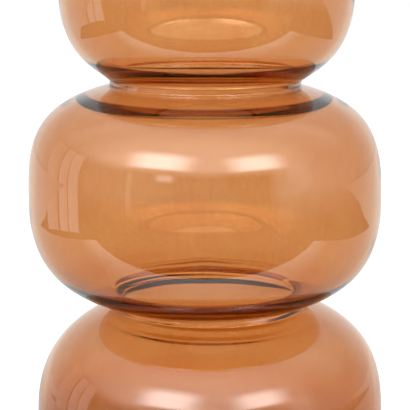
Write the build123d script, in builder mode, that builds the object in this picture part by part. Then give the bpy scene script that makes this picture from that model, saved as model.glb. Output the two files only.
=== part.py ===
"""Blown-glass vase of three stacked bulbs, hot-joined through two narrow collars.

Millimetres, +Z up, the foot stands on z = 0 and every piece turns round the Z axis.
"""

import os
from dataclasses import dataclass
from math import cos, radians, sin

from build123d import *

# Bulbs
belly_radius = 100.0  # lower and middle bulbs, outside
upper_belly_radius = 82.0
lower_bulb_bottom_height = 59.0  # foot to the widest ring
lower_bulb_top_height = 67.0  # widest ring to the middle of the waist
middle_bulb_bottom_height = 59.0
middle_bulb_top_height = 67.0
upper_bulb_bottom_height = 52.0
upper_bulb_top_height = 52.0

# Waists and mouth
lower_waist_radius = 55.5
upper_waist_radius = 54.0
mouth_radius = 54.0
collar_height = 2.2
groove_radius = 0.8  # outer crease where a bulb turns into its collar
flare_radius = 10.0  # outer curve of the rim
flare_turn = 42.0  # degrees that the rim leans outward

# Walls
belly_wall = 3.4
waist_wall = 5.0
floor_wall = 7.0
thicken_ease = 0.2  # share of a thickening stretch that is rounded at each end
inside_spans = 24  # stretches of the curve through each half's inside

# Foot
foot_radius = 64.0  # outer edge of the standing ring
foot_width = 7.0
punt_height = 13.0  # hollow under the base


@dataclass(frozen=True)
class HalfShape:
    """How one half of a bulb swells between its widest ring and its waist, and how its wall thickens.

    Args:
        slope: tilt from level where the glass reaches the groove, in degrees.
        belly_pull: share of the half's height that stays near the widest ring.
        shoulder_pull: share of the half's width that stays near the slope.
        thick_from: how far outside the waist the wall starts to thicken.
        thick_to: how far outside the waist it has the waist's wall.
    """

    slope: float
    belly_pull: float
    shoulder_pull: float
    thick_from: float
    thick_to: float


lower_shoulder = HalfShape(20.3, 0.406, 0.956, 41.5, 4.5)
middle_underside = HalfShape(14.7, 0.489, 0.792, 32.7, 9.5)
middle_shoulder = HalfShape(14.0, 0.486, 1.0, 22.7, 12.5)
upper_underside = HalfShape(34.0, 0.645, 0.591, 15.0, 0.5)
upper_shoulder = HalfShape(24.0, 0.6, 0.66, 15.0, 0.5)

# Lower bulb's bottom half, shares as above
foot_belly_pull = 0.5
foot_shoulder_pull = 0.78

# Heights that follow from the sizes above
lower_belly_z = lower_bulb_bottom_height
lower_waist_z = lower_belly_z + lower_bulb_top_height
middle_belly_z = lower_waist_z + middle_bulb_bottom_height
upper_waist_z = middle_belly_z + middle_bulb_top_height
upper_belly_z = upper_waist_z + upper_bulb_bottom_height
mouth_z = upper_belly_z + upper_bulb_top_height
collar_half = collar_height / 2


def wall_at(radius: float, belly: float, waist: float, shape: HalfShape) -> float:
    """Return a half's wall at an outside radius: it grows evenly, with both ends of the growth rounded.

    Args:
        radius: outside radius.
        belly: outside radius at the widest ring.
        waist: outside radius at the neck.
        shape: how the half thickens.
    """
    start = min(waist + shape.thick_from, belly)
    end = min(waist + shape.thick_to, start - 1)
    way_in = min(max((start - radius) / (start - end), 0), 1)
    if way_in < thicken_ease:
        share = way_in**2 / (2 * thicken_ease)
    elif way_in > 1 - thicken_ease:
        share = 1 - thicken_ease - (1 - way_in) ** 2 / (2 * thicken_ease)
    else:
        share = way_in - thicken_ease / 2
    return belly_wall + (waist_wall - belly_wall) * share / (1 - thicken_ease)


def bulb_half_wall(belly: float, belly_z: float, waist: float, end_z: float, shape: HalfShape):
    """Draw the outside and the inside of one half of a bulb, and the square end of its neck.

    Args:
        belly: outside radius at the widest ring.
        belly_z: height of the widest ring.
        waist: outside radius at the neck.
        end_z: height of the neck's end.
        shape: how the half swells and thickens.
    """
    way = 1 if end_z > belly_z else -1
    tilt = radians(shape.slope)
    root_r = waist + groove_radius * (1 - sin(tilt))
    root_z = end_z - way * groove_radius * cos(tilt)
    pull = shape.shoulder_pull * (belly - root_r)
    swell = Bezier(
        (belly, belly_z),
        (belly, belly_z + shape.belly_pull * (root_z - belly_z)),
        (root_r + pull * cos(tilt), root_z - way * pull * sin(tilt)),
        (root_r, root_z),
    )
    # the outer crease and the inner ridge turn round one centre
    crease_centre = (waist + groove_radius, end_z)
    crease_turn = way * (90 - shape.slope)
    CenterArc(crease_centre, groove_radius, 180, crease_turn)
    ridge = CenterArc(crease_centre, groove_radius + waist_wall, 180, crease_turn)
    # the inside stands off the outside by the wall at each place
    inside = [(belly - belly_wall, belly_z)]
    for span in range(1, inside_spans):
        outer, along = swell @ (span / inside_spans), swell % (span / inside_spans)
        inward = Vector(-along.Y, along.X) * way
        inside.append(outer + inward * wall_at(outer.X, belly, waist, shape))
    inside.append(ridge @ 1)
    Spline(*inside, tangents=((0, way), (-cos(tilt), way * sin(tilt))))
    Line((waist - waist_wall, end_z), (waist, end_z))


def collar_section(waist: float, waist_z: float):
    """Draw the square section of the collar that joins two necks.

    Args:
        waist: outside radius of the necks.
        waist_z: height of the collar's middle.
    """
    with Locations((waist - waist_wall / 2, waist_z)):
        Rectangle(waist_wall, collar_height)


os.makedirs("parts", exist_ok=True)

with BuildPart() as lower_bulb:
    with BuildSketch(Plane.XZ):
        with BuildLine():
            bulb_half_wall(
                belly_radius, lower_belly_z, lower_waist_radius, lower_waist_z - collar_half, lower_shoulder
            )
            # outside of the bottom half, rolling onto the standing ring
            Bezier(
                (belly_radius, lower_belly_z),
                (belly_radius, lower_belly_z * (1 - foot_belly_pull)),
                (foot_radius + foot_shoulder_pull * (belly_radius - foot_radius), 0),
                (foot_radius, 0),
            )
            punt_edge = foot_radius - foot_width
            Line((foot_radius, 0), (punt_edge, 0))
            TangentArc((0, punt_height), (punt_edge, 0), tangent=(1, 0))
            Line((0, punt_height), (0, punt_height + floor_wall))
            # inside floor: over the punt, down into the ring's trough, up the belly
            trough_r = foot_radius - foot_width / 4
            Bezier(
                (0, punt_height + floor_wall),
                (trough_r * 0.45, punt_height + floor_wall),
                (trough_r * 0.7, floor_wall),
                (trough_r, floor_wall),
            )
            inner_belly = belly_radius - belly_wall
            inner_rise = lower_belly_z - floor_wall
            Bezier(
                (trough_r, floor_wall),
                (trough_r + foot_shoulder_pull * (inner_belly - trough_r), floor_wall),
                (inner_belly, lower_belly_z - foot_belly_pull * inner_rise),
                (inner_belly, lower_belly_z),
            )
        make_face()
    revolve(axis=Axis.Z)
lower_bulb.part.label = "lower_bulb"
export_step(lower_bulb.part, "parts/lower_bulb.step")

with BuildPart() as lower_collar:
    with BuildSketch(Plane.XZ):
        collar_section(lower_waist_radius, lower_waist_z)
    revolve(axis=Axis.Z)
lower_collar.part.label = "lower_collar"
export_step(lower_collar.part, "parts/lower_collar.step")

with BuildPart() as middle_bulb:
    with BuildSketch(Plane.XZ):
        with BuildLine():
            bulb_half_wall(
                belly_radius, middle_belly_z, lower_waist_radius, lower_waist_z + collar_half, middle_underside
            )
            bulb_half_wall(
                belly_radius, middle_belly_z, upper_waist_radius, upper_waist_z - collar_half, middle_shoulder
            )
        make_face()
    revolve(axis=Axis.Z)
middle_bulb.part.label = "middle_bulb"
export_step(middle_bulb.part, "parts/middle_bulb.step")

with BuildPart() as upper_collar:
    with BuildSketch(Plane.XZ):
        collar_section(upper_waist_radius, upper_waist_z)
    revolve(axis=Axis.Z)
upper_collar.part.label = "upper_collar"
export_step(upper_collar.part, "parts/upper_collar.step")

with BuildPart() as upper_bulb:
    with BuildSketch(Plane.XZ):
        with BuildLine():
            bulb_half_wall(
                upper_belly_radius, upper_belly_z, upper_waist_radius, upper_waist_z + collar_half, upper_underside
            )
            bulb_half_wall(upper_belly_radius, upper_belly_z, mouth_radius, mouth_z, upper_shoulder)
        make_face()
    revolve(axis=Axis.Z)
upper_bulb.part.label = "upper_bulb"
export_step(upper_bulb.part, "parts/upper_bulb.step")

with BuildPart() as mouth_rim:
    with BuildSketch(Plane.XZ):
        with BuildLine():
            # inside and outside of the flare turn round one centre; the lip is a half round between them
            flare_centre = (mouth_radius + flare_radius, mouth_z)
            outside = CenterArc(flare_centre, flare_radius, 180, -flare_turn)
            inside = CenterArc(flare_centre, flare_radius + waist_wall, 180, -flare_turn)
            TangentArc(outside @ 1, inside @ 1, tangent=outside % 1)
            Line(outside @ 0, inside @ 0)
        make_face()
    revolve(axis=Axis.Z)
mouth_rim.part.label = "mouth_rim"
export_step(mouth_rim.part, "parts/mouth_rim.step")
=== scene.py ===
"""Blown amber glass vase of three stacked bulbs, dressed on its solid frame and lit in a small studio.

All lengths are metres in the frame's own axes: +Z up the vase, -Y towards the camera.
"""

import logging
import math
from dataclasses import dataclass, field
from enum import Enum

import bmesh
import bpy
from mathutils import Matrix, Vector, noise


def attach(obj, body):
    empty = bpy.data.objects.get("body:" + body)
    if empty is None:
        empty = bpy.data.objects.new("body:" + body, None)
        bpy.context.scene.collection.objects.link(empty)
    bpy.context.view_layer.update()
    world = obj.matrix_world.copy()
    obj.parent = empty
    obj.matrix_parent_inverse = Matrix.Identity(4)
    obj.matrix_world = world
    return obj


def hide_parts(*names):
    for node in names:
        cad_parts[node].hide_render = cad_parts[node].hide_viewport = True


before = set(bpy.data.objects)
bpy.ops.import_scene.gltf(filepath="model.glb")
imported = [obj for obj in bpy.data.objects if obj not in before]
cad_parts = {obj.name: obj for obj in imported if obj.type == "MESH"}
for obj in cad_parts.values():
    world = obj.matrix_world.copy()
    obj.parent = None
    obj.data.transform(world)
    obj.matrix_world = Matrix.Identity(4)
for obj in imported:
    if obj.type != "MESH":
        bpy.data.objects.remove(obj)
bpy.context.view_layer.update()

logging.basicConfig(level=logging.INFO, format="%(name)s: %(message)s")
log = logging.getLogger("vase")

MM = 0.001
BODY = "root"
PHOTO_SIDE = 410  # pixels on each side of the picture
SENSOR_MM = 36.0
WHITE = "ffffff"
ON_AXIS = 1e-9  # a radius below this is on the vase's axis
SAME_PLACE = 1e-6  # points nearer than this are one point
BLANK_RADIUS = 50.0 * MM  # plain ring that each section is shaped from
CARDS_ROUND = Vector((0.0, 0.0, 0.19))  # the vase's middle, which the cards stand round

Point = tuple[float, float]
Span = tuple[float, float]


class Side(Enum):
    """Which way a half bulb runs from its widest ring."""

    UP = 1
    DOWN = -1


def srgb(code: str) -> tuple[float, float, float, float]:
    """Turn an sRGB hex colour into linear values.

    Args:
        code: six hex digits.

    Returns:
        Linear red, green, blue and an alpha of 1.
    """
    linear = []
    for start in (0, 2, 4):
        c = int(code[start : start + 2], 16) / 255
        linear.append(c / 12.92 if c <= 0.04045 else ((c + 0.055) / 1.055) ** 2.4)
    return (*linear, 1.0)


def add_node(tree: bpy.types.NodeTree, kind: str, links: dict | None = None, **settings) -> bpy.types.Node:
    """Add one node with its settings and links.

    Args:
        tree: node tree that takes the node.
        kind: node type name.
        links: input socket name or index to an output socket, or to a plain value.
        settings: node properties.

    Returns:
        The new node.
    """
    node = tree.nodes.new(kind)
    for name, value in settings.items():
        setattr(node, name, value)
    for key, value in (links or {}).items():
        if isinstance(value, bpy.types.NodeSocket):
            tree.links.new(value, node.inputs[key])
        else:
            node.inputs[key].default_value = value
    return node


def new_material(name: str) -> tuple[bpy.types.Material, bpy.types.NodeTree, bpy.types.Node]:
    """Make an empty node material.

    Args:
        name: material name.

    Returns:
        The material, its tree and its output node.
    """
    material = bpy.data.materials.new(name)
    material.use_nodes = True
    tree = material.node_tree
    tree.nodes.clear()
    return material, tree, add_node(tree, "ShaderNodeOutputMaterial")


@dataclass(frozen=True)
class AmberGlass:
    """Mouth-blown amber glass with an amber lustre fired on its faces.

    The film gives an even tint to what is seen through it and leaves mirror images clear and white.
    The glass itself is a weaker amber that only long ways through it show, as at the waists.
    Clouds, fine upright streaks from the dipping and a fine grain show as a faint change of tint.
    The real streaks and grain are finer than the picture can show, so they are drawn coarser.

    Args:
        tint: colour of the film where it is thin.
        deep_tint: colour of the film where it is thick.
        depth_tint: colour of the glass itself.
        depth_per_m: strength of that colour for each metre of glass.
        ior: bending of light.
        roughness: 0 is fire-polished.
        cloud_mm: size of the clouds.
        streak_mm: width of the streaks.
        grain_mm: size of the grain.
        streak_squeeze: a streak's width over its length.
        thin: sum of the patterns at which the film is thin.
        thick: sum of the patterns at which the film is thick.
    """

    tint: str = "f5d6b1"
    deep_tint: str = "efc6a0"
    depth_tint: str = "e9cd97"
    depth_per_m: float = 160.0
    ior: float = 1.5
    roughness: float = 0.0
    cloud_mm: float = 28.0
    streak_mm: float = 1.6
    grain_mm: float = 0.8
    streak_squeeze: float = 0.15
    thin: float = 1.15
    thick: float = 1.85

    def material(self) -> bpy.types.Material:
        """Mix the glass.

        Returns:
            The finished material.
        """
        material, tree, output = new_material("amber_lustre_glass")
        place = add_node(tree, "ShaderNodeTexCoord").outputs["Object"]
        upright = add_node(
            tree, "ShaderNodeMapping", {"Vector": place, "Scale": (1.0, 1.0, self.streak_squeeze)}
        ).outputs[0]
        # clouds, streaks and grain: where each is read, its size, its detail and how rough the detail is
        patterns = (
            (place, self.cloud_mm, 3.0, 0.6),
            (upright, self.streak_mm, 2.0, 0.5),
            (place, self.grain_mm, 1.0, 0.5),
        )
        total = None
        for where, size_mm, detail, roughness in patterns:
            pattern = add_node(
                tree,
                "ShaderNodeTexNoise",
                {"Vector": where, "Scale": 1 / (size_mm * MM), "Detail": detail, "Roughness": roughness},
            ).outputs[0]
            if total is None:
                total = pattern
            else:
                total = add_node(tree, "ShaderNodeMath", {0: total, 1: pattern}, operation="ADD").outputs[0]
        share = add_node(tree, "ShaderNodeMapRange", {0: total, 1: self.thin, 2: self.thick})
        colour = add_node(
            tree,
            "ShaderNodeMix",
            {0: share.outputs[0], 6: srgb(self.tint), 7: srgb(self.deep_tint)},
            data_type="RGBA",
        )
        glass = add_node(
            tree,
            "ShaderNodeBsdfPrincipled",
            {
                "Base Color": colour.outputs[2],
                "Roughness": self.roughness,
                "IOR": self.ior,
                "Transmission Weight": 1.0,
            },
        )
        depth = add_node(
            tree,
            "ShaderNodeVolumeAbsorption",
            {"Color": srgb(self.depth_tint), "Density": self.depth_per_m},
        )
        tree.links.new(glass.outputs[0], output.inputs["Surface"])
        tree.links.new(depth.outputs[0], output.inputs["Volume"])
        return material


@dataclass(frozen=True)
class HalfShape:
    """How one half of a bulb swells and how its wall thickens.

    Args:
        slope: tilt from level where the glass reaches the groove, in degrees.
        belly_pull: share of the half's height that stays near the widest ring.
        shoulder_pull: share of the half's width that stays near the slope.
        thick_from: how far outside the waist the wall starts to thicken.
        thick_to: how far outside the waist it has the waist's wall.
        ease: share of the thickening stretch over which it sets in.
    """

    slope: float
    belly_pull: float
    shoulder_pull: float
    thick_from: float
    thick_to: float
    ease: float = 0.2


@dataclass(frozen=True)
class JoinRing:
    """A low ring of thicker glass left inside where a neck was joined, strongest on one side.

    Args:
        radius: inside radius at the middle of its outer slope.
        neck: inside radius where it has died out.
        above: it lies above the bulb's widest ring.
        azimuth: degrees to the right of the camera's side where it is strongest.
        spread: degrees to each side over which it dies out.
        height: greatest extra wall.
        half_rise: half the width of its outer slope.
    """

    radius: float
    neck: float
    above: bool
    azimuth: float
    spread: float
    height: float = 0.65 * MM
    half_rise: float = 1.7 * MM

    def extra(self, r: float, azimuth: float) -> float:
        """Return the extra wall at an inside radius and an azimuth.

        Args:
            r: inside radius.
            azimuth: degrees to the right of the camera's side.

        Returns:
            Metres of glass to add.
        """
        away = abs((azimuth - self.azimuth + 180) % 360 - 180)
        if away >= self.spread:
            return 0.0
        inner = self.radius - self.half_rise
        share = eased((self.radius + self.half_rise - r) / (2 * self.half_rise))
        share *= eased((r - self.neck) / (inner - self.neck))
        return self.height * share * math.cos(math.pi / 2 * away / self.spread) ** 2


@dataclass(frozen=True)
class Blowing:
    """Sizes shared by all blown sections.

    Args:
        belly_wall: wall at the widest rings.
        waist_wall: wall at the necks and collars.
        groove: radius of the outer crease where a bulb turns into its collar.
        collar_height: height of a collar.
        thicken_ease: share of a thickening stretch over which it ends.
        front_slack: how much further out an upper half's wall starts to thicken at the front and the back.
        ripple: greatest height of the ripples inside the bellies.
        ripple_length: length of the ripples.
        ripple_from: share of the way from waist to belly where they start.
        seam: gap between a neck and its collar.
        curve_steps: spans of a half bulb's curve.
        foot_steps: spans of the curves from belly to foot.
        base_steps: spans of the punt and of the floor over it.
        crease_steps: spans of a crease.
        flat_steps: spans of a straight face.
        flare_steps: spans of the mouth's flare.
        lip_steps: spans of the mouth's lip.
        turns: steps round the axis.
        smooth_angle: edges sharper than this stay sharp.
    """

    belly_wall: float = 3.4 * MM
    waist_wall: float = 5.0 * MM
    groove: float = 0.8 * MM
    collar_height: float = 2.2 * MM
    thicken_ease: float = 0.2
    front_slack: float = 6.0 * MM
    ripple: float = 0.09 * MM
    ripple_length: float = 16.0 * MM
    ripple_from: float = 0.6
    seam: float = 0.02 * MM
    curve_steps: int = 100
    foot_steps: int = 66
    base_steps: int = 30
    crease_steps: int = 12
    flat_steps: int = 4
    flare_steps: int = 24
    lip_steps: int = 20
    turns: int = 192
    smooth_angle: float = math.radians(40)


BLOWING = Blowing()

# Height in metres, and how many millimetres the hand-blown bulbs stand there to the right of the axis
LEAN: tuple[Point, ...] = (
    (0.0, 2.8),
    (0.07, 2.8),
    (0.112, 4.1),
    (0.12, 4.0),
    (0.132, 0.3),
    (0.185, 0.0),
    (0.235, -0.4),
    (0.246, -0.4),
    (0.258, 0.9),
    (0.37, 0.9),
)


def curve_points(a: Point, b: Point, c: Point, d: Point, steps: int) -> list[Point]:
    """Sample a cubic curve.

    Args:
        a: start.
        b: handle at the start.
        c: handle at the end.
        d: end.
        steps: number of spans.

    Returns:
        Points from start to end.
    """
    found = []
    for i in range(steps + 1):
        t = i / steps
        u = 1 - t
        weights = (u**3, 3 * u * u * t, 3 * u * t * t, t**3)
        found.append(tuple(sum(w * p[k] for w, p in zip(weights, (a, b, c, d))) for k in (0, 1)))
    return found


def arc_points(centre: Point, radius: float, start: float, end: float, steps: int) -> list[Point]:
    """Sample an arc.

    Args:
        centre: centre of the arc.
        radius: its radius.
        start: first angle in degrees.
        end: last angle in degrees.
        steps: number of spans.

    Returns:
        Points from start to end.
    """
    angles = [math.radians(start + (end - start) * i / steps) for i in range(steps + 1)]
    return [(centre[0] + radius * math.cos(a), centre[1] + radius * math.sin(a)) for a in angles]


def eased(t: float) -> float:
    """Return a share from 0 to 1 with rounded ends."""
    t = min(max(t, 0.0), 1.0)
    return t * t * (3 - 2 * t)


def lean(z: float) -> float:
    """Find how far the hand-blown bulbs stand to the right of the axis.

    Args:
        z: height.

    Returns:
        Metres to the right at that height.
    """
    for (z0, x0), (z1, x1) in zip(LEAN, LEAN[1:]):
        if z <= z1:
            return (x0 + (x1 - x0) * eased((z - z0) / (z1 - z0))) * MM
    return LEAN[-1][1] * MM


def deselect_all() -> None:
    """Leave object mode with nothing selected."""
    if bpy.context.object and bpy.context.object.mode != "OBJECT":
        bpy.ops.object.mode_set(mode="OBJECT")
    bpy.ops.object.select_all(action="DESELECT")


@dataclass
class TurnedGlass:
    """A piece of glass turned round the vase's axis from one section.

    Args:
        name: piece name.
        node: solid that it stands for.
    """

    name: str
    node: str

    def section(self) -> list[Point]:
        """Return the section's points in order, radius and height, outside first."""
        raise NotImplementedError

    def extra_wall(self, place: Vector, normal: Vector) -> float:
        """Return how much further into the vase a face lies than in the section.

        Args:
            place: a point of the face.
            normal: the face's direction there.

        Returns:
            Metres along the normal.
        """
        return 0.0

    def build(self) -> bpy.types.Object:
        """Model the piece.

        Returns:
            The finished object, at the origin.
        """
        points = self.section()
        on_axis = points[0][0] < ON_AXIS
        deselect_all()
        bpy.ops.mesh.primitive_circle_add(vertices=len(points), radius=BLANK_RADIUS, fill_type="NOTHING")
        piece = bpy.context.object
        piece.name = self.name
        piece.data.name = self.name
        bpy.ops.object.mode_set(mode="EDIT")
        mesh = bmesh.from_edit_mesh(piece.data)
        mesh.verts.ensure_lookup_table()
        for vert, (r, z) in zip(mesh.verts, points):
            vert.co = Vector((r, 0.0, z))
        if on_axis:
            closing = [e for e in mesh.edges if all(v.co.x < ON_AXIS for v in e.verts)]
            bmesh.ops.delete(mesh, geom=closing, context="EDGES_FACES")
        bmesh.update_edit_mesh(piece.data)
        bpy.ops.mesh.select_all(action="SELECT")
        bpy.ops.mesh.spin(
            steps=BLOWING.turns, angle=math.tau, center=(0.0, 0.0, 0.0), axis=(0.0, 0.0, 1.0), use_auto_merge=True
        )
        bpy.ops.mesh.select_all(action="SELECT")
        bpy.ops.mesh.remove_doubles(threshold=SAME_PLACE)
        bpy.ops.mesh.normals_make_consistent(inside=False)
        bpy.ops.object.mode_set(mode="OBJECT")
        bpy.ops.object.shade_smooth_by_angle(angle=BLOWING.smooth_angle)
        by_hand = [v.co + v.normal * self.extra_wall(v.co, v.normal) for v in piece.data.vertices]
        for vert, place in zip(piece.data.vertices, by_hand):
            vert.co = place + Vector((lean(place.z), 0.0, 0.0))
        return piece

    def dress(self, piece: bpy.types.Object, glass: bpy.types.Material) -> None:
        """Give the piece its glass and tie it to the frame.

        Args:
            piece: object from build.
            glass: its material.
        """
        piece.data.materials.append(glass)
        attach(piece, BODY)
        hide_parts(self.node)


@dataclass
class HalfBulb:
    """One half of a blown bulb, from its widest ring to the square end of its neck.

    Args:
        belly: outside radius at the widest ring.
        belly_z: height of the widest ring.
        waist: outside radius of the neck.
        end_z: height of the neck's end.
        shape: how the half swells.
    """

    belly: float
    belly_z: float
    waist: float
    end_z: float
    shape: HalfShape

    def way(self) -> int:
        """Return 1 if the neck is above the widest ring, or -1."""
        return (Side.UP if self.end_z > self.belly_z else Side.DOWN).value

    def outside(self) -> list[Point]:
        """Draw the outer face.

        Returns:
            Its points, from the widest ring to the neck's end.
        """
        way = self.way()
        groove = BLOWING.groove
        tilt = math.radians(self.shape.slope)
        root = (self.waist + groove * (1 - math.sin(tilt)), self.end_z - way * groove * math.cos(tilt))
        pull = self.shape.shoulder_pull * (self.belly - root[0])
        swell = curve_points(
            (self.belly, self.belly_z),
            (self.belly, self.belly_z + self.shape.belly_pull * (root[1] - self.belly_z)),
            (root[0] + pull * math.cos(tilt), root[1] - way * pull * math.sin(tilt)),
            root,
            BLOWING.curve_steps,
        )
        turn = 180 + way * (90 - self.shape.slope)
        crease = arc_points((self.waist + groove, self.end_z), groove, turn, 180, BLOWING.crease_steps)
        return swell + crease[1:]

    def wall(self, r: float) -> float:
        """Find the wall's thickness, which grows evenly towards the waist, with both ends rounded.

        Args:
            r: outside radius.

        Returns:
            Metres of glass.
        """
        span = self.shape.thick_from - self.shape.thick_to
        t = min(max((self.waist + self.shape.thick_from - r) / span, 0.0), 1.0)
        start, end = self.shape.ease, BLOWING.thicken_ease
        full = 1 - (start + end) / 2
        if t < start:
            share = t * t / (2 * start)
        elif t > 1 - end:
            share = full - (1 - t) ** 2 / (2 * end)
        else:
            share = t - start / 2
        return BLOWING.belly_wall + (BLOWING.waist_wall - BLOWING.belly_wall) * share / full

    def inside(self) -> list[Point]:
        """Draw the inner face, which stands off the outer face by the wall at each place.

        Returns:
            Its points, from the widest ring to the neck's end.
        """
        line = self.outside()
        found = [(self.belly - BLOWING.belly_wall, self.belly_z)]
        for before, (r, z), after in zip(line, line[1:], line[2:]):
            along = Vector((after[0] - before[0], after[1] - before[1])).normalized()
            inward = Vector((-along.y, along.x)) * self.way()
            wall = self.wall(r)
            found.append((r + inward.x * wall, z + inward.y * wall))
        return found + [(self.waist - BLOWING.waist_wall, self.end_z)]


@dataclass
class BlownGlass(TurnedGlass):
    """A blown piece whose inside keeps faint ripples and the rings of its joins.

    Args:
        upper: its upper half.
        rings: rings left by joining.
        oval: how much further in the upper half's wall starts to thicken at the sides.
    """

    upper: HalfBulb
    rings: tuple[JoinRing, ...]
    oval: float

    def extra_wall(self, place: Vector, normal: Vector) -> float:
        """Return the ripples, the rings and the shift of the thickening inside, and nothing on the outside.

        Args:
            place: a point of the face.
            normal: the face's direction there.

        Returns:
            Metres along the normal.
        """
        from_middle = place - Vector((0.0, 0.0, self.upper.belly_z))
        r = math.hypot(place.x, place.y)
        if normal.dot(from_middle) > 0 or r < self.upper.waist:
            return 0.0
        azimuth = math.degrees(math.atan2(place.x, -place.y))
        bulge = (r - self.upper.waist) / (self.upper.belly - self.upper.waist)
        swell = eased((bulge - BLOWING.ripple_from) / (1 - BLOWING.ripple_from))
        extra = BLOWING.ripple * swell * noise.noise(place / BLOWING.ripple_length)
        if from_middle.z > 0:
            span = self.upper.shape.thick_from - self.upper.shape.thick_to
            past = max(r - self.upper.waist - self.upper.shape.thick_to, 0.0)
            sideways = math.sin(math.radians(azimuth)) ** 2
            inset = self.oval * sideways - BLOWING.front_slack * (1 - sideways)
            extra += self.upper.wall(r + past * inset / (span - inset)) - self.upper.wall(r)
        for ring in self.rings:
            if ring.above == (from_middle.z > 0):
                extra += ring.extra(r, azimuth)
        return extra


@dataclass
class Bulb(BlownGlass):
    """A blown bulb with a neck at each end.

    Args:
        lower: its lower half.
    """

    lower: HalfBulb

    def section(self) -> list[Point]:
        """Return the closed section, up the outside and down the inside."""
        outside = self.lower.outside()[::-1] + self.upper.outside()[1:]
        return outside + self.upper.inside()[::-1] + self.lower.inside()[1:]


@dataclass
class FootedBulb(BlownGlass):
    """The blown bulb that stands on the table, with its ring and hollowed base.

    Args:
        foot: outer radius of the standing ring.
        foot_width: width of the standing ring.
        punt: height of the hollow under the base.
        floor: thickness of the floor.
        belly_pull: share of the lower half's height that stays near the widest ring.
        shoulder_pull: share of its width that stays near the table.
        dip_pull: share of the trough's radius out to which the floor's curve stays low.
        crown_pull: share of the trough's radius out to which it stays high.
    """

    foot: float = 64.0 * MM
    foot_width: float = 7.0 * MM
    punt: float = 13.0 * MM
    floor: float = 7.0 * MM
    belly_pull: float = 0.5
    shoulder_pull: float = 0.78
    dip_pull: float = 0.7
    crown_pull: float = 0.45

    def section(self) -> list[Point]:
        """Draw the open section.

        Returns:
            Its points, from the punt's crown round the outside to the inside floor's crown.
        """
        belly, belly_z = self.upper.belly, self.upper.belly_z
        edge = self.foot - self.foot_width
        radius = (edge**2 + self.punt**2) / (2 * self.punt)
        reach = math.degrees(math.asin(edge / radius))
        hollow = arc_points((0.0, self.punt - radius), radius, 90, 90 - reach, BLOWING.base_steps)
        hollow[0] = (0.0, self.punt)
        steps = BLOWING.flat_steps
        ring = [(edge + self.foot_width * i / steps, 0.0) for i in range(1, steps + 1)]
        roll = curve_points(
            (self.foot, 0.0),
            (self.foot + self.shoulder_pull * (belly - self.foot), 0.0),
            (belly, belly_z * (1 - self.belly_pull)),
            (belly, belly_z),
            BLOWING.foot_steps,
        )
        inner = belly - BLOWING.belly_wall
        trough = self.foot - self.foot_width / 4
        bowl = curve_points(
            (inner, belly_z),
            (inner, belly_z - self.belly_pull * (belly_z - self.floor)),
            (trough + self.shoulder_pull * (inner - trough), self.floor),
            (trough, self.floor),
            BLOWING.foot_steps,
        )
        crown = self.punt + self.floor
        rise = curve_points(
            (trough, self.floor),
            (trough * self.dip_pull, self.floor),
            (trough * self.crown_pull, crown),
            (0.0, crown),
            BLOWING.base_steps,
        )
        outside = hollow + ring + roll[1:] + self.upper.outside()[1:]
        return outside + self.upper.inside()[::-1] + bowl[1:] + rise[1:]


@dataclass
class Collar(TurnedGlass):
    """The short ring that joins two necks.

    Args:
        radius: outside radius.
        middle_z: height of its middle.
    """

    radius: float
    middle_z: float

    def section(self) -> list[Point]:
        """Draw the closed section.

        Returns:
            Its points, up the outside and down the inside.
        """
        low = self.middle_z - BLOWING.collar_height / 2
        high = self.middle_z + BLOWING.collar_height / 2
        inner = self.radius - BLOWING.waist_wall
        steps = BLOWING.flat_steps
        rows = [low + (high - low) * i / steps for i in range(steps + 1)]
        return [(self.radius, z) for z in rows] + [(inner, z) for z in rows[::-1]]


@dataclass
class MouthRim(TurnedGlass):
    """The flared, fire-polished rim.

    Args:
        radius: outside radius where it starts.
        start_z: height where it starts.
        flare: radius of the outer curve.
        turn: degrees that it leans outward.
    """

    radius: float
    start_z: float
    flare: float = 10.0 * MM
    turn: float = 42.0

    def section(self) -> list[Point]:
        """Draw the closed section.

        Returns:
            Its points: flare outside, round lip, flare inside.
        """
        wall = BLOWING.waist_wall
        centre = (self.radius + self.flare, self.start_z)
        outside = arc_points(centre, self.flare, 180, 180 - self.turn, BLOWING.flare_steps)
        inside = arc_points(centre, self.flare + wall, 180, 180 - self.turn, BLOWING.flare_steps)
        middle = ((outside[-1][0] + inside[-1][0]) / 2, (outside[-1][1] + inside[-1][1]) / 2)
        lip = arc_points(middle, wall / 2, -self.turn, 180 - self.turn, BLOWING.lip_steps)
        return outside + lip[1:-1] + inside[::-1]


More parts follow.
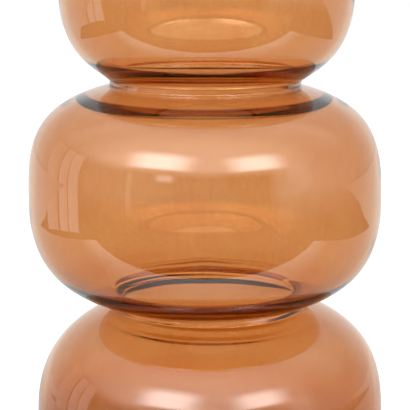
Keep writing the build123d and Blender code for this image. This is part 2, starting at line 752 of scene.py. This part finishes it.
@dataclass
class Vase:
    """The whole vase: radii and heights of its rings, and the pieces between them.

    Args:
        belly: outside radius of the lower and the middle bulb.
        upper_belly: outside radius of the upper bulb.
        lower_waist: outside radius of the lower waist.
        upper_waist: outside radius of the upper waist.
        mouth: outside radius where the rim starts.
        lower_belly_z: height of the lower bulb's widest ring.
        lower_waist_z: height of the lower collar's middle.
        middle_belly_z: height of the middle bulb's widest ring.
        upper_waist_z: height of the upper collar's middle.
        upper_belly_z: height of the upper bulb's widest ring.
        mouth_z: height where the rim starts.
        lower_shoulder: upper half of the lower bulb.
        middle_underside: lower half of the middle bulb.
        middle_shoulder: upper half of the middle bulb.
        upper_underside: lower half of the upper bulb.
        upper_shoulder: upper half of the upper bulb.
        lower_ring: ring left inside the lower bulb's shoulder.
        middle_ring: ring left inside the middle bulb's underside.
        middle_oval: how oval the middle shoulder's thickening is.
        glass: finish of all pieces.
    """

    belly: float = 100.0 * MM
    upper_belly: float = 82.0 * MM
    lower_waist: float = 55.5 * MM
    upper_waist: float = 54.0 * MM
    mouth: float = 54.0 * MM
    lower_belly_z: float = 59.0 * MM
    lower_waist_z: float = 126.0 * MM
    middle_belly_z: float = 185.0 * MM
    upper_waist_z: float = 252.0 * MM
    upper_belly_z: float = 304.0 * MM
    mouth_z: float = 356.0 * MM
    lower_shoulder: HalfShape = HalfShape(20.3, 0.406, 0.956, 41.5 * MM, 4.5 * MM)
    middle_underside: HalfShape = HalfShape(14.7, 0.489, 0.792, 32.7 * MM, 9.5 * MM)
    middle_shoulder: HalfShape = HalfShape(14.0, 0.486, 1.0, 26.0 * MM, 12.0 * MM, ease=0.4)
    upper_underside: HalfShape = HalfShape(34.0, 0.645, 0.591, 15.0 * MM, 0.5 * MM)
    upper_shoulder: HalfShape = HalfShape(24.0, 0.6, 0.66, 15.0 * MM, 0.5 * MM)
    lower_ring: JoinRing = JoinRing(62.8 * MM, 58.0 * MM, True, -8.0, 75.0)
    middle_ring: JoinRing = JoinRing(60.3 * MM, 55.6 * MM, False, 180.0, 90.0, 1.0 * MM)
    middle_oval: float = 9.5 * MM
    glass: AmberGlass = AmberGlass()

    def pieces(self) -> list[TurnedGlass]:
        """List the pieces.

        Returns:
            The pieces from the foot up.
        """
        gap = BLOWING.collar_height / 2 + BLOWING.seam
        low_top = HalfBulb(
            self.belly,
            self.lower_belly_z,
            self.lower_waist,
            self.lower_waist_z - gap,
            self.lower_shoulder,
        )
        mid_low = HalfBulb(
            self.belly,
            self.middle_belly_z,
            self.lower_waist,
            self.lower_waist_z + gap,
            self.middle_underside,
        )
        mid_top = HalfBulb(
            self.belly,
            self.middle_belly_z,
            self.upper_waist,
            self.upper_waist_z - gap,
            self.middle_shoulder,
        )
        up_low = HalfBulb(
            self.upper_belly,
            self.upper_belly_z,
            self.upper_waist,
            self.upper_waist_z + gap,
            self.upper_underside,
        )
        up_top = HalfBulb(
            self.upper_belly,
            self.upper_belly_z,
            self.mouth,
            self.mouth_z - BLOWING.seam,
            self.upper_shoulder,
        )
        return [
            FootedBulb("glass_lower_bulb", "lower_bulb", low_top, (self.lower_ring,), 0.0),
            Collar("glass_lower_collar", "lower_collar", self.lower_waist, self.lower_waist_z),
            Bulb("glass_middle_bulb", "middle_bulb", mid_top, (self.middle_ring,), self.middle_oval, mid_low),
            Collar("glass_upper_collar", "upper_collar", self.upper_waist, self.upper_waist_z),
            Bulb("glass_upper_bulb", "upper_bulb", up_top, (), 0.0, up_low),
            MouthRim("glass_mouth_rim", "mouth_rim", self.mouth, self.mouth_z),
        ]

    def make(self) -> None:
        """Build and dress every piece."""
        glass = self.glass.material()
        for part in self.pieces():
            piece = part.build()
            part.dress(piece, glass)
            log.info("%s: %d faces", part.name, len(piece.data.polygons))


@dataclass(frozen=True)
class Card:
    """A glowing surface in the room, seen only in the glass.

    Args:
        name: card name.
        azimuth: degrees to the right of the camera's side, at the card's middle.
        elevation: degrees above the vase's middle.
        distance: metres from the vase's middle.
        width: metres.
        height: metres.
        glow: brightness, where 1 is white.
        soft: share of each half side over which the glow fades.
        soft_foot: the same share at the lower edge, where it differs.
        upright: stands upright instead of facing the vase.
        through: share of the glow that reaches the eye through the glass.
    """

    name: str
    azimuth: float
    elevation: float
    distance: float
    width: float
    height: float
    glow: float
    soft: float = 0.0
    soft_foot: float = 0.0
    upright: bool = False
    through: float = 1.0

    def make(self) -> None:
        """Stand the card in the room."""
        a, e = math.radians(self.azimuth), math.radians(self.elevation)
        out = Vector((math.sin(a) * math.cos(e), -math.cos(a) * math.cos(e), math.sin(e)))
        facing = Vector((out.x, out.y, 0.0)) if self.upright else out
        deselect_all()
        bpy.ops.mesh.primitive_plane_add(size=2.0)
        card = bpy.context.object
        card.name = self.name
        card.scale = (self.width / 2, self.height / 2, 1.0)
        card.rotation_euler = (-facing).to_track_quat("Z", "Y").to_euler()
        card.location = CARDS_ROUND + out * self.distance
        card.visible_camera = False
        card.visible_transmission = self.through > 0
        material, tree, output = new_material(self.name)
        place = add_node(tree, "ShaderNodeTexCoord").outputs["Object"]
        axes = add_node(tree, "ShaderNodeSeparateXYZ", {0: place})
        path = add_node(tree, "ShaderNodeLightPath")
        glow = add_node(
            tree,
            "ShaderNodeMapRange",
            {0: path.outputs["Is Transmission Ray"], 3: self.glow, 4: self.glow * self.through},
        ).outputs[0]
        if self.soft:
            edges = (
                ("X", -1.0, self.soft),
                ("X", 1.0, self.soft),
                ("Y", -1.0, self.soft_foot or self.soft),
                ("Y", 1.0, self.soft),
            )
            for axis, edge, share in edges:
                fade = add_node(
                    tree,
                    "ShaderNodeMapRange",
                    {0: axes.outputs[axis], 1: edge, 2: edge * (1 - share), 3: 0.0, 4: 1.0},
                    interpolation_type="SMOOTHSTEP",
                )
                glow = add_node(
                    tree, "ShaderNodeMath", {0: fade.outputs[0], 1: glow}, operation="MULTIPLY"
                ).outputs[0]
        light = add_node(tree, "ShaderNodeEmission", {"Color": srgb(WHITE), "Strength": glow})
        if self.soft:
            gap = add_node(tree, "ShaderNodeBsdfTransparent")
            light = add_node(tree, "ShaderNodeAddShader", {0: light.outputs[0], 1: gap.outputs[0]})
        tree.links.new(light.outputs[0], output.inputs["Surface"])
        card.data.materials.append(material)
        log.info("%s stands at %.0f, %.0f degrees", self.name, self.azimuth, self.elevation)


@dataclass
class Studio:
    """Table, room, lamps and camera.

    A tone is a brightness where 1 is white. Spans on the table are metres. Spans in the room are heights or ways back
    of a direction of length 1. Each span runs from its first value to its second.

    Args:
        target: point that the camera looks at.
        distance: metres from there to the camera.
        pitch: degrees that the camera looks down.
        focal_px: focal length in pixels of the picture.
        glass_bounces: most faces that light passes.
        mirror_bounces: most faces that mirror it.
        board_side: side of the table's plane.
        board_drop: how far it lies below the foot, so that the two don't share a face.
        table_left: where the mirrored table ends on the left.
        table_right: where it ends on the right.
        table_front: where it ends in front.
        table_back: where its left and right ends stop, and it runs on into the sweep.
        camera_albedo: lightness of the board in the vase's shadow.
        camera_lift: glow that makes the open board white.
        shadow_span: over which that glow sets in, away from the axis, so that the board round the foot is a painted
            darker ring on top of the vase's real shadow.
        side_tone: mirrored tone of the board beside the vase.
        sweep_tone: mirrored tone of the board far behind.
        sweep_span: over which the one turns into the other.
        painted_lamp_tone: tone of painted lamp light added to the mirrored board in front.
        painted_lamp_from: where that starts, growing as far as the front end.
        painted_foot_shadow: tone of the board at the foot, through the glass: a painted shadow of the vase on the
            glowing board.
        painted_shadow_centre: middle of that painted shadow.
        painted_shadow_span: over which it dies out.
        painted_pool: colour of painted light on the board round the foot, standing in for the light that the glass
            throws there.
        painted_pool_span: over which that painted light grows, towards the axis.
        lamp_slant: how much the bright ceiling reaches further to the left.
        lamp_span: over which the ceiling brightens towards the lamps.
        lamp_ceiling: tone of the ceiling at the lamps.
        ceiling_span: over which the rest of the ceiling brightens upward.
        ceiling_tones: its tones at the two ends of that.
        rear_span: over which the ceiling darkens towards the rear.
        rear_tone: share of its tone that is left there.
        wall_top: over which the walls turn into the ceiling.
        wall_foot: over which the walls rise out of the dark below the table.
        under_tone: share of their tone that is left there.
        behind_span: over which what is seen through the glass turns white towards the rear.
        low_span: over which it turns white towards the table.
        walls: tones of the walls by degrees to the right of the camera's side.
        cards: glowing surfaces in the room.
    """

    target: Vector = field(default_factory=lambda: Vector((0.0, 0.0, 0.1815)))
    distance: float = 0.8275
    pitch: float = 11.01
    focal_px: float = 1450.0
    glass_bounces: int = 32
    mirror_bounces: int = 16
    board_side: float = 8.0
    board_drop: float = 0.2 * MM
    table_left: float = -0.61
    table_right: float = 0.60
    table_front: float = -0.236
    table_back: float = 0.45
    camera_albedo: float = 0.36
    camera_lift: float = 0.7
    shadow_span: Span = (0.11, 0.2)
    side_tone: float = 0.75
    sweep_tone: float = 1.0
    sweep_span: Span = (0.1, 0.7)
    painted_lamp_tone: float = 1.6
    painted_lamp_from: float = -0.08
    painted_foot_shadow: float = 0.45
    painted_shadow_centre: tuple[float, float, float] = (-0.07, 0.0, 0.0)
    painted_shadow_span: Span = (0.05, 0.3)
    painted_pool: str = "ebbf70"
    painted_pool_span: Span = (0.5, 0.14)
    lamp_slant: float = 0.15
    lamp_span: Span = (0.05, -0.6)
    lamp_ceiling: float = 3.4
    ceiling_span: Span = (0.3, 0.87)
    ceiling_tones: Span = (1.0, 2.0)
    rear_span: Span = (0.3, 0.55)
    rear_tone: float = 0.6
    wall_top: Span = (0.24, 0.47)
    wall_foot: Span = (-0.2, 0.0)
    under_tone: float = 0.1
    behind_span: Span = (-0.3, 0.1)
    low_span: Span = (0.25, 0.05)
    walls: tuple[Point, ...] = (
        (-180, 1.0),
        (-145, 0.9),
        (-119, 0.8),
        (-118, 0.5),
        (-84, 0.5),
        (-81, 0.7),
        (-70, 0.9),
        (-40, 0.9),
        (-22, 0.5),
        (-10, 0.45),
        (8, 0.45),
        (16, 0.12),
        (40, 0.12),
        (49, 1.5),
        (62, 1.6),
        (80, 1.45),
        (100, 0.95),
        (114, 0.7),
        (124, 0.7),
        (145, 0.95),
        (180, 1.0),
    )
    cards: tuple[Card, ...] = (
        Card("left_soft_box", -31.0, 35.5, 2.8, 2.7, 1.4, 10.2, soft=0.85, soft_foot=0.35, through=0.14),
        Card("right_soft_box", 35.5, 32.5, 2.8, 2.4, 1.25, 8.6, soft=0.85, soft_foot=0.35, through=0.14),
        Card("lamp_foot", -25.0, 14.0, 2.8, 0.8, 0.5, 4.5, soft=0.8, through=0.0),
        Card("window_pane_front", -90.6, 3.4, 3.5, 0.56, 2.27, 1.9, upright=True, through=0.0),
        Card("window_pane_middle", -100.2, 3.4, 3.5, 0.52, 2.27, 1.6, upright=True, through=0.0),
        Card("window_pane_back", -112.5, 3.4, 3.5, 0.8, 2.27, 1.05, upright=True, through=0.0),
        Card("right_board", 62.0, 12.0, 3.0, 1.4, 1.7, 0.9, soft=0.7, upright=True, through=0.0),
        Card("stand", -47.5, 4.0, 2.0, 0.16, 1.0, 0.8, soft=0.3, upright=True, through=0.0),
    )

    def camera(self) -> None:
        """Place the camera at the picture's viewing angle."""
        lens = bpy.data.cameras.new("camera")
        lens.sensor_width = SENSOR_MM
        lens.lens = lens.sensor_width * self.focal_px / PHOTO_SIDE
        eye = bpy.data.objects.new("camera", lens)
        bpy.context.collection.objects.link(eye)
        e = math.radians(self.pitch)
        eye.location = self.target + Vector((0.0, -math.cos(e), math.sin(e))) * self.distance
        eye.rotation_euler = (math.pi / 2 - e, 0.0, 0.0)
        bpy.context.scene.camera = eye

    def floor(self) -> None:
        """Lay the pale table top, whose edges only its mirror images show."""
        deselect_all()
        bpy.ops.mesh.primitive_plane_add(size=self.board_side, location=(0.0, 0.0, -self.board_drop))
        table = bpy.context.object
        table.name = "table"
        bpy.ops.object.transform_apply(location=True, rotation=False, scale=False)
        material, tree, output = new_material("matt_white_table_board")
        place = add_node(tree, "ShaderNodeTexCoord").outputs["Object"]
        axes = add_node(tree, "ShaderNodeSeparateXYZ", {0: place})
        path = add_node(tree, "ShaderNodeLightPath")
        mirrored = path.outputs["Is Glossy Ray"]
        through = path.outputs["Is Transmission Ray"]
        reach = add_node(tree, "ShaderNodeVectorMath", {0: place}, operation="LENGTH").outputs["Value"]
        # past the board's front and sides its mirror images look down into the room
        beyond = add_node(
            tree, "ShaderNodeMath", {0: axes.outputs["Y"], 1: self.table_front}, operation="LESS_THAN"
        ).outputs[0]
        width = add_node(
            tree,
            "ShaderNodeMath",
            {0: axes.outputs["X"], 1: (self.table_left + self.table_right) / 2},
            operation="SUBTRACT",
        )
        width = add_node(tree, "ShaderNodeMath", {0: width.outputs[0]}, operation="ABSOLUTE")
        aside = add_node(
            tree,
            "ShaderNodeMath",
            {0: width.outputs[0], 1: (self.table_right - self.table_left) / 2},
            operation="GREATER_THAN",
        )
        near = add_node(tree, "ShaderNodeMath", {0: axes.outputs["Y"], 1: self.table_back}, operation="LESS_THAN")
        aside = add_node(tree, "ShaderNodeMath", {0: aside.outputs[0], 1: near.outputs[0]}, operation="MULTIPLY")
        beyond = add_node(tree, "ShaderNodeMath", {0: beyond, 1: aside.outputs[0]}, operation="MAXIMUM").outputs[0]
        # a ray through clear glass counts as glossy too, so mirror images are the glossy rays without those
        only_mirrored = add_node(
            tree, "ShaderNodeMath", {0: mirrored, 1: through}, operation="SUBTRACT", use_clamp=True
        ).outputs[0]
        beyond = add_node(tree, "ShaderNodeMath", {0: beyond, 1: only_mirrored}, operation="MULTIPLY").outputs[0]
        # what the eye sees of the board itself: white away from the vase, with the vase's real shadow; the glow is
        # left out round the foot, a painted darker ring there
        white = add_node(
            tree,
            "ShaderNodeMapRange",
            {0: reach, 1: self.shadow_span[0], 2: self.shadow_span[1], 4: self.camera_lift},
            interpolation_type="SMOOTHSTEP",
        ).outputs[0]
        board = add_node(tree, "ShaderNodeBsdfDiffuse", {"Color": (self.camera_albedo,) * 3 + (1.0,)})
        glow = add_node(tree, "ShaderNodeEmission", {"Color": srgb(WHITE), "Strength": white})
        plain = add_node(tree, "ShaderNodeAddShader", {0: board.outputs[0], 1: glow.outputs[0]})
        # what the glass shows of the board, as a glow: mirrored, darker near the vase and brightest far behind, with
        # painted lamp light in front; through the walls, painted amber light and a painted shadow at the foot
        sweep = add_node(
            tree,
            "ShaderNodeMapRange",
            {
                0: axes.outputs["Y"],
                1: self.sweep_span[0],
                2: self.sweep_span[1],
                3: self.side_tone,
                4: self.sweep_tone,
            },
            interpolation_type="SMOOTHSTEP",
        ).outputs[0]
        # painted light: the lamps' light on the board in front, added to its mirrored glow
        lit = add_node(
            tree,
            "ShaderNodeMapRange",
            {0: axes.outputs["Y"], 1: self.painted_lamp_from, 2: self.table_front, 4: self.painted_lamp_tone},
            interpolation_type="SMOOTHSTEP",
        ).outputs[0]
        sweep = add_node(tree, "ShaderNodeMath", {0: sweep, 1: lit}, operation="ADD").outputs[0]
        # painted shadow: through the glass the board is a glow, made darker round the foot to stand for the vase's
        # shadow
        cast = add_node(
            tree, "ShaderNodeVectorMath", {0: place, 1: self.painted_shadow_centre}, operation="DISTANCE"
        ).outputs["Value"]
        shade = add_node(
            tree,
            "ShaderNodeMapRange",
            {0: cast, 1: self.painted_shadow_span[0], 2: self.painted_shadow_span[1], 3: self.painted_foot_shadow},
        ).outputs[0]
        tone = add_node(tree, "ShaderNodeMapRange", {0: through, 3: sweep, 4: shade}).outputs[0]
        # painted light: an amber glow on the board round the foot, seen through the glass, standing in for the light
        # that the glass throws there
        painted_pool = add_node(
            tree,
            "ShaderNodeMapRange",
            {0: reach, 1: self.painted_pool_span[0], 2: self.painted_pool_span[1], 4: through},
            interpolation_type="SMOOTHSTEP",
        ).outputs[0]
        painted_pool_hue = add_node(
            tree, "ShaderNodeMix", {0: painted_pool, 6: srgb(WHITE), 7: srgb(self.painted_pool)}, data_type="RGBA"
        ).outputs[2]
        shown = add_node(tree, "ShaderNodeEmission", {"Color": painted_pool_hue, "Strength": tone})
        in_glass = add_node(tree, "ShaderNodeMath", {0: through, 1: mirrored}, operation="MAXIMUM").outputs[0]
        both = add_node(tree, "ShaderNodeMixShader", {0: in_glass, 1: plain.outputs[0], 2: shown.outputs[0]})
        clear = add_node(tree, "ShaderNodeBsdfTransparent")
        both = add_node(tree, "ShaderNodeMixShader", {0: beyond, 1: both.outputs[0], 2: clear.outputs[0]})
        tree.links.new(both.outputs[0], output.inputs["Surface"])
        table.data.materials.append(material)

    def room(self) -> None:
        """Surround the table: white sweep behind, bright ceiling, dark room in front below the lamps."""
        world = bpy.data.worlds.new("studio")
        bpy.context.scene.world = world
        world.use_nodes = True
        tree = world.node_tree
        tree.nodes.clear()
        output = add_node(tree, "ShaderNodeOutputWorld")
        way = add_node(tree, "ShaderNodeTexCoord").outputs["Generated"]
        axes = add_node(tree, "ShaderNodeSeparateXYZ", {0: way})
        # ceiling: brightest over the lamps, elsewhere brighter upward and darker towards the rear
        slant = add_node(
            tree,
            "ShaderNodeMath",
            {0: axes.outputs["X"], 1: self.lamp_slant, 2: axes.outputs["Y"]},
            operation="MULTIPLY_ADD",
        ).outputs[0]
        to_lamps = add_node(
            tree, "ShaderNodeMapRange", {0: slant, 1: self.lamp_span[0], 2: self.lamp_span[1]}
        ).outputs[0]
        side = add_node(
            tree,
            "ShaderNodeMapRange",
            {
                0: axes.outputs["Z"],
                1: self.ceiling_span[0],
                2: self.ceiling_span[1],
                3: self.ceiling_tones[0],
                4: self.ceiling_tones[1],
            },
        ).outputs[0]
        rear = add_node(
            tree,
            "ShaderNodeMapRange",
            {0: axes.outputs["Y"], 1: self.rear_span[0], 2: self.rear_span[1], 3: 1.0, 4: self.rear_tone},
            interpolation_type="SMOOTHSTEP",
        ).outputs[0]
        side = add_node(tree, "ShaderNodeMath", {0: side, 1: rear}, operation="MULTIPLY").outputs[0]
        ceiling = add_node(tree, "ShaderNodeMapRange", {0: to_lamps, 3: side, 4: self.lamp_ceiling}).outputs[0]
        # walls: a tone for each way round, dark below the table
        forward = add_node(tree, "ShaderNodeMath", {0: axes.outputs["Y"], 1: -1.0}, operation="MULTIPLY").outputs[0]
        turn = add_node(tree, "ShaderNodeMath", {0: axes.outputs["X"], 1: forward}, operation="ARCTAN2").outputs[0]
        around = add_node(tree, "ShaderNodeMapRange", {0: turn, 1: -math.pi, 2: math.pi}).outputs[0]
        walls = add_node(tree, "ShaderNodeValToRGB", {0: around})
        ramp = walls.color_ramp
        while len(ramp.elements) < len(self.walls):
            ramp.elements.new(0.5)
        for element, (azimuth, _) in zip(ramp.elements, self.walls):
            element.position = (azimuth + 180) / 360
        for element, (_, tone) in zip(ramp.elements, self.walls):
            element.color = (tone, tone, tone, 1.0)
        above = add_node(
            tree,
            "ShaderNodeMapRange",
            {0: axes.outputs["Z"], 1: self.wall_top[0], 2: self.wall_top[1]},
            interpolation_type="SMOOTHSTEP",
        ).outputs[0]
        below = add_node(
            tree,
            "ShaderNodeMapRange",
            {0: axes.outputs["Z"], 1: self.wall_foot[0], 2: self.wall_foot[1], 3: self.under_tone},
        ).outputs[0]
        tone = add_node(tree, "ShaderNodeMath", {0: walls.outputs[0], 1: below}, operation="MULTIPLY").outputs[0]
        tone = add_node(tree, "ShaderNodeMapRange", {0: above, 3: tone, 4: ceiling}).outputs[0]
        # white for the eye, and through the glass towards the rear and the table
        path = add_node(tree, "ShaderNodeLightPath")
        through = path.outputs["Is Transmission Ray"]
        behind = add_node(
            tree,
            "ShaderNodeMapRange",
            {0: axes.outputs["Y"], 1: self.behind_span[0], 2: self.behind_span[1], 4: through},
            interpolation_type="SMOOTHSTEP",
        ).outputs[0]
        low = add_node(
            tree,
            "ShaderNodeMapRange",
            {0: axes.outputs["Z"], 1: self.low_span[0], 2: self.low_span[1], 4: through},
            interpolation_type="SMOOTHSTEP",
        ).outputs[0]
        behind = add_node(tree, "ShaderNodeMath", {0: behind, 1: low}, operation="MAXIMUM").outputs[0]
        plain = add_node(
            tree, "ShaderNodeMath", {0: path.outputs["Is Camera Ray"], 1: behind}, operation="MAXIMUM"
        ).outputs[0]
        tone = add_node(tree, "ShaderNodeMapRange", {0: plain, 3: tone}).outputs[0]
        light = add_node(tree, "ShaderNodeBackground", {"Color": srgb(WHITE), "Strength": tone})
        tree.links.new(light.outputs[0], output.inputs["Surface"])

    def make(self) -> None:
        """Set the whole studio."""
        scene = bpy.context.scene
        scene.view_settings.view_transform = "Standard"
        scene.cycles.max_bounces = self.glass_bounces
        scene.cycles.transmission_bounces = self.glass_bounces
        scene.cycles.transparent_max_bounces = self.glass_bounces
        scene.cycles.glossy_bounces = self.mirror_bounces
        self.floor()
        self.room()
        for card in self.cards:
            card.make()
        self.camera()


def main() -> None:
    """Build the vase and light it."""
    Vase().make()
    Studio().make()


if __name__ == "__main__":
    main()
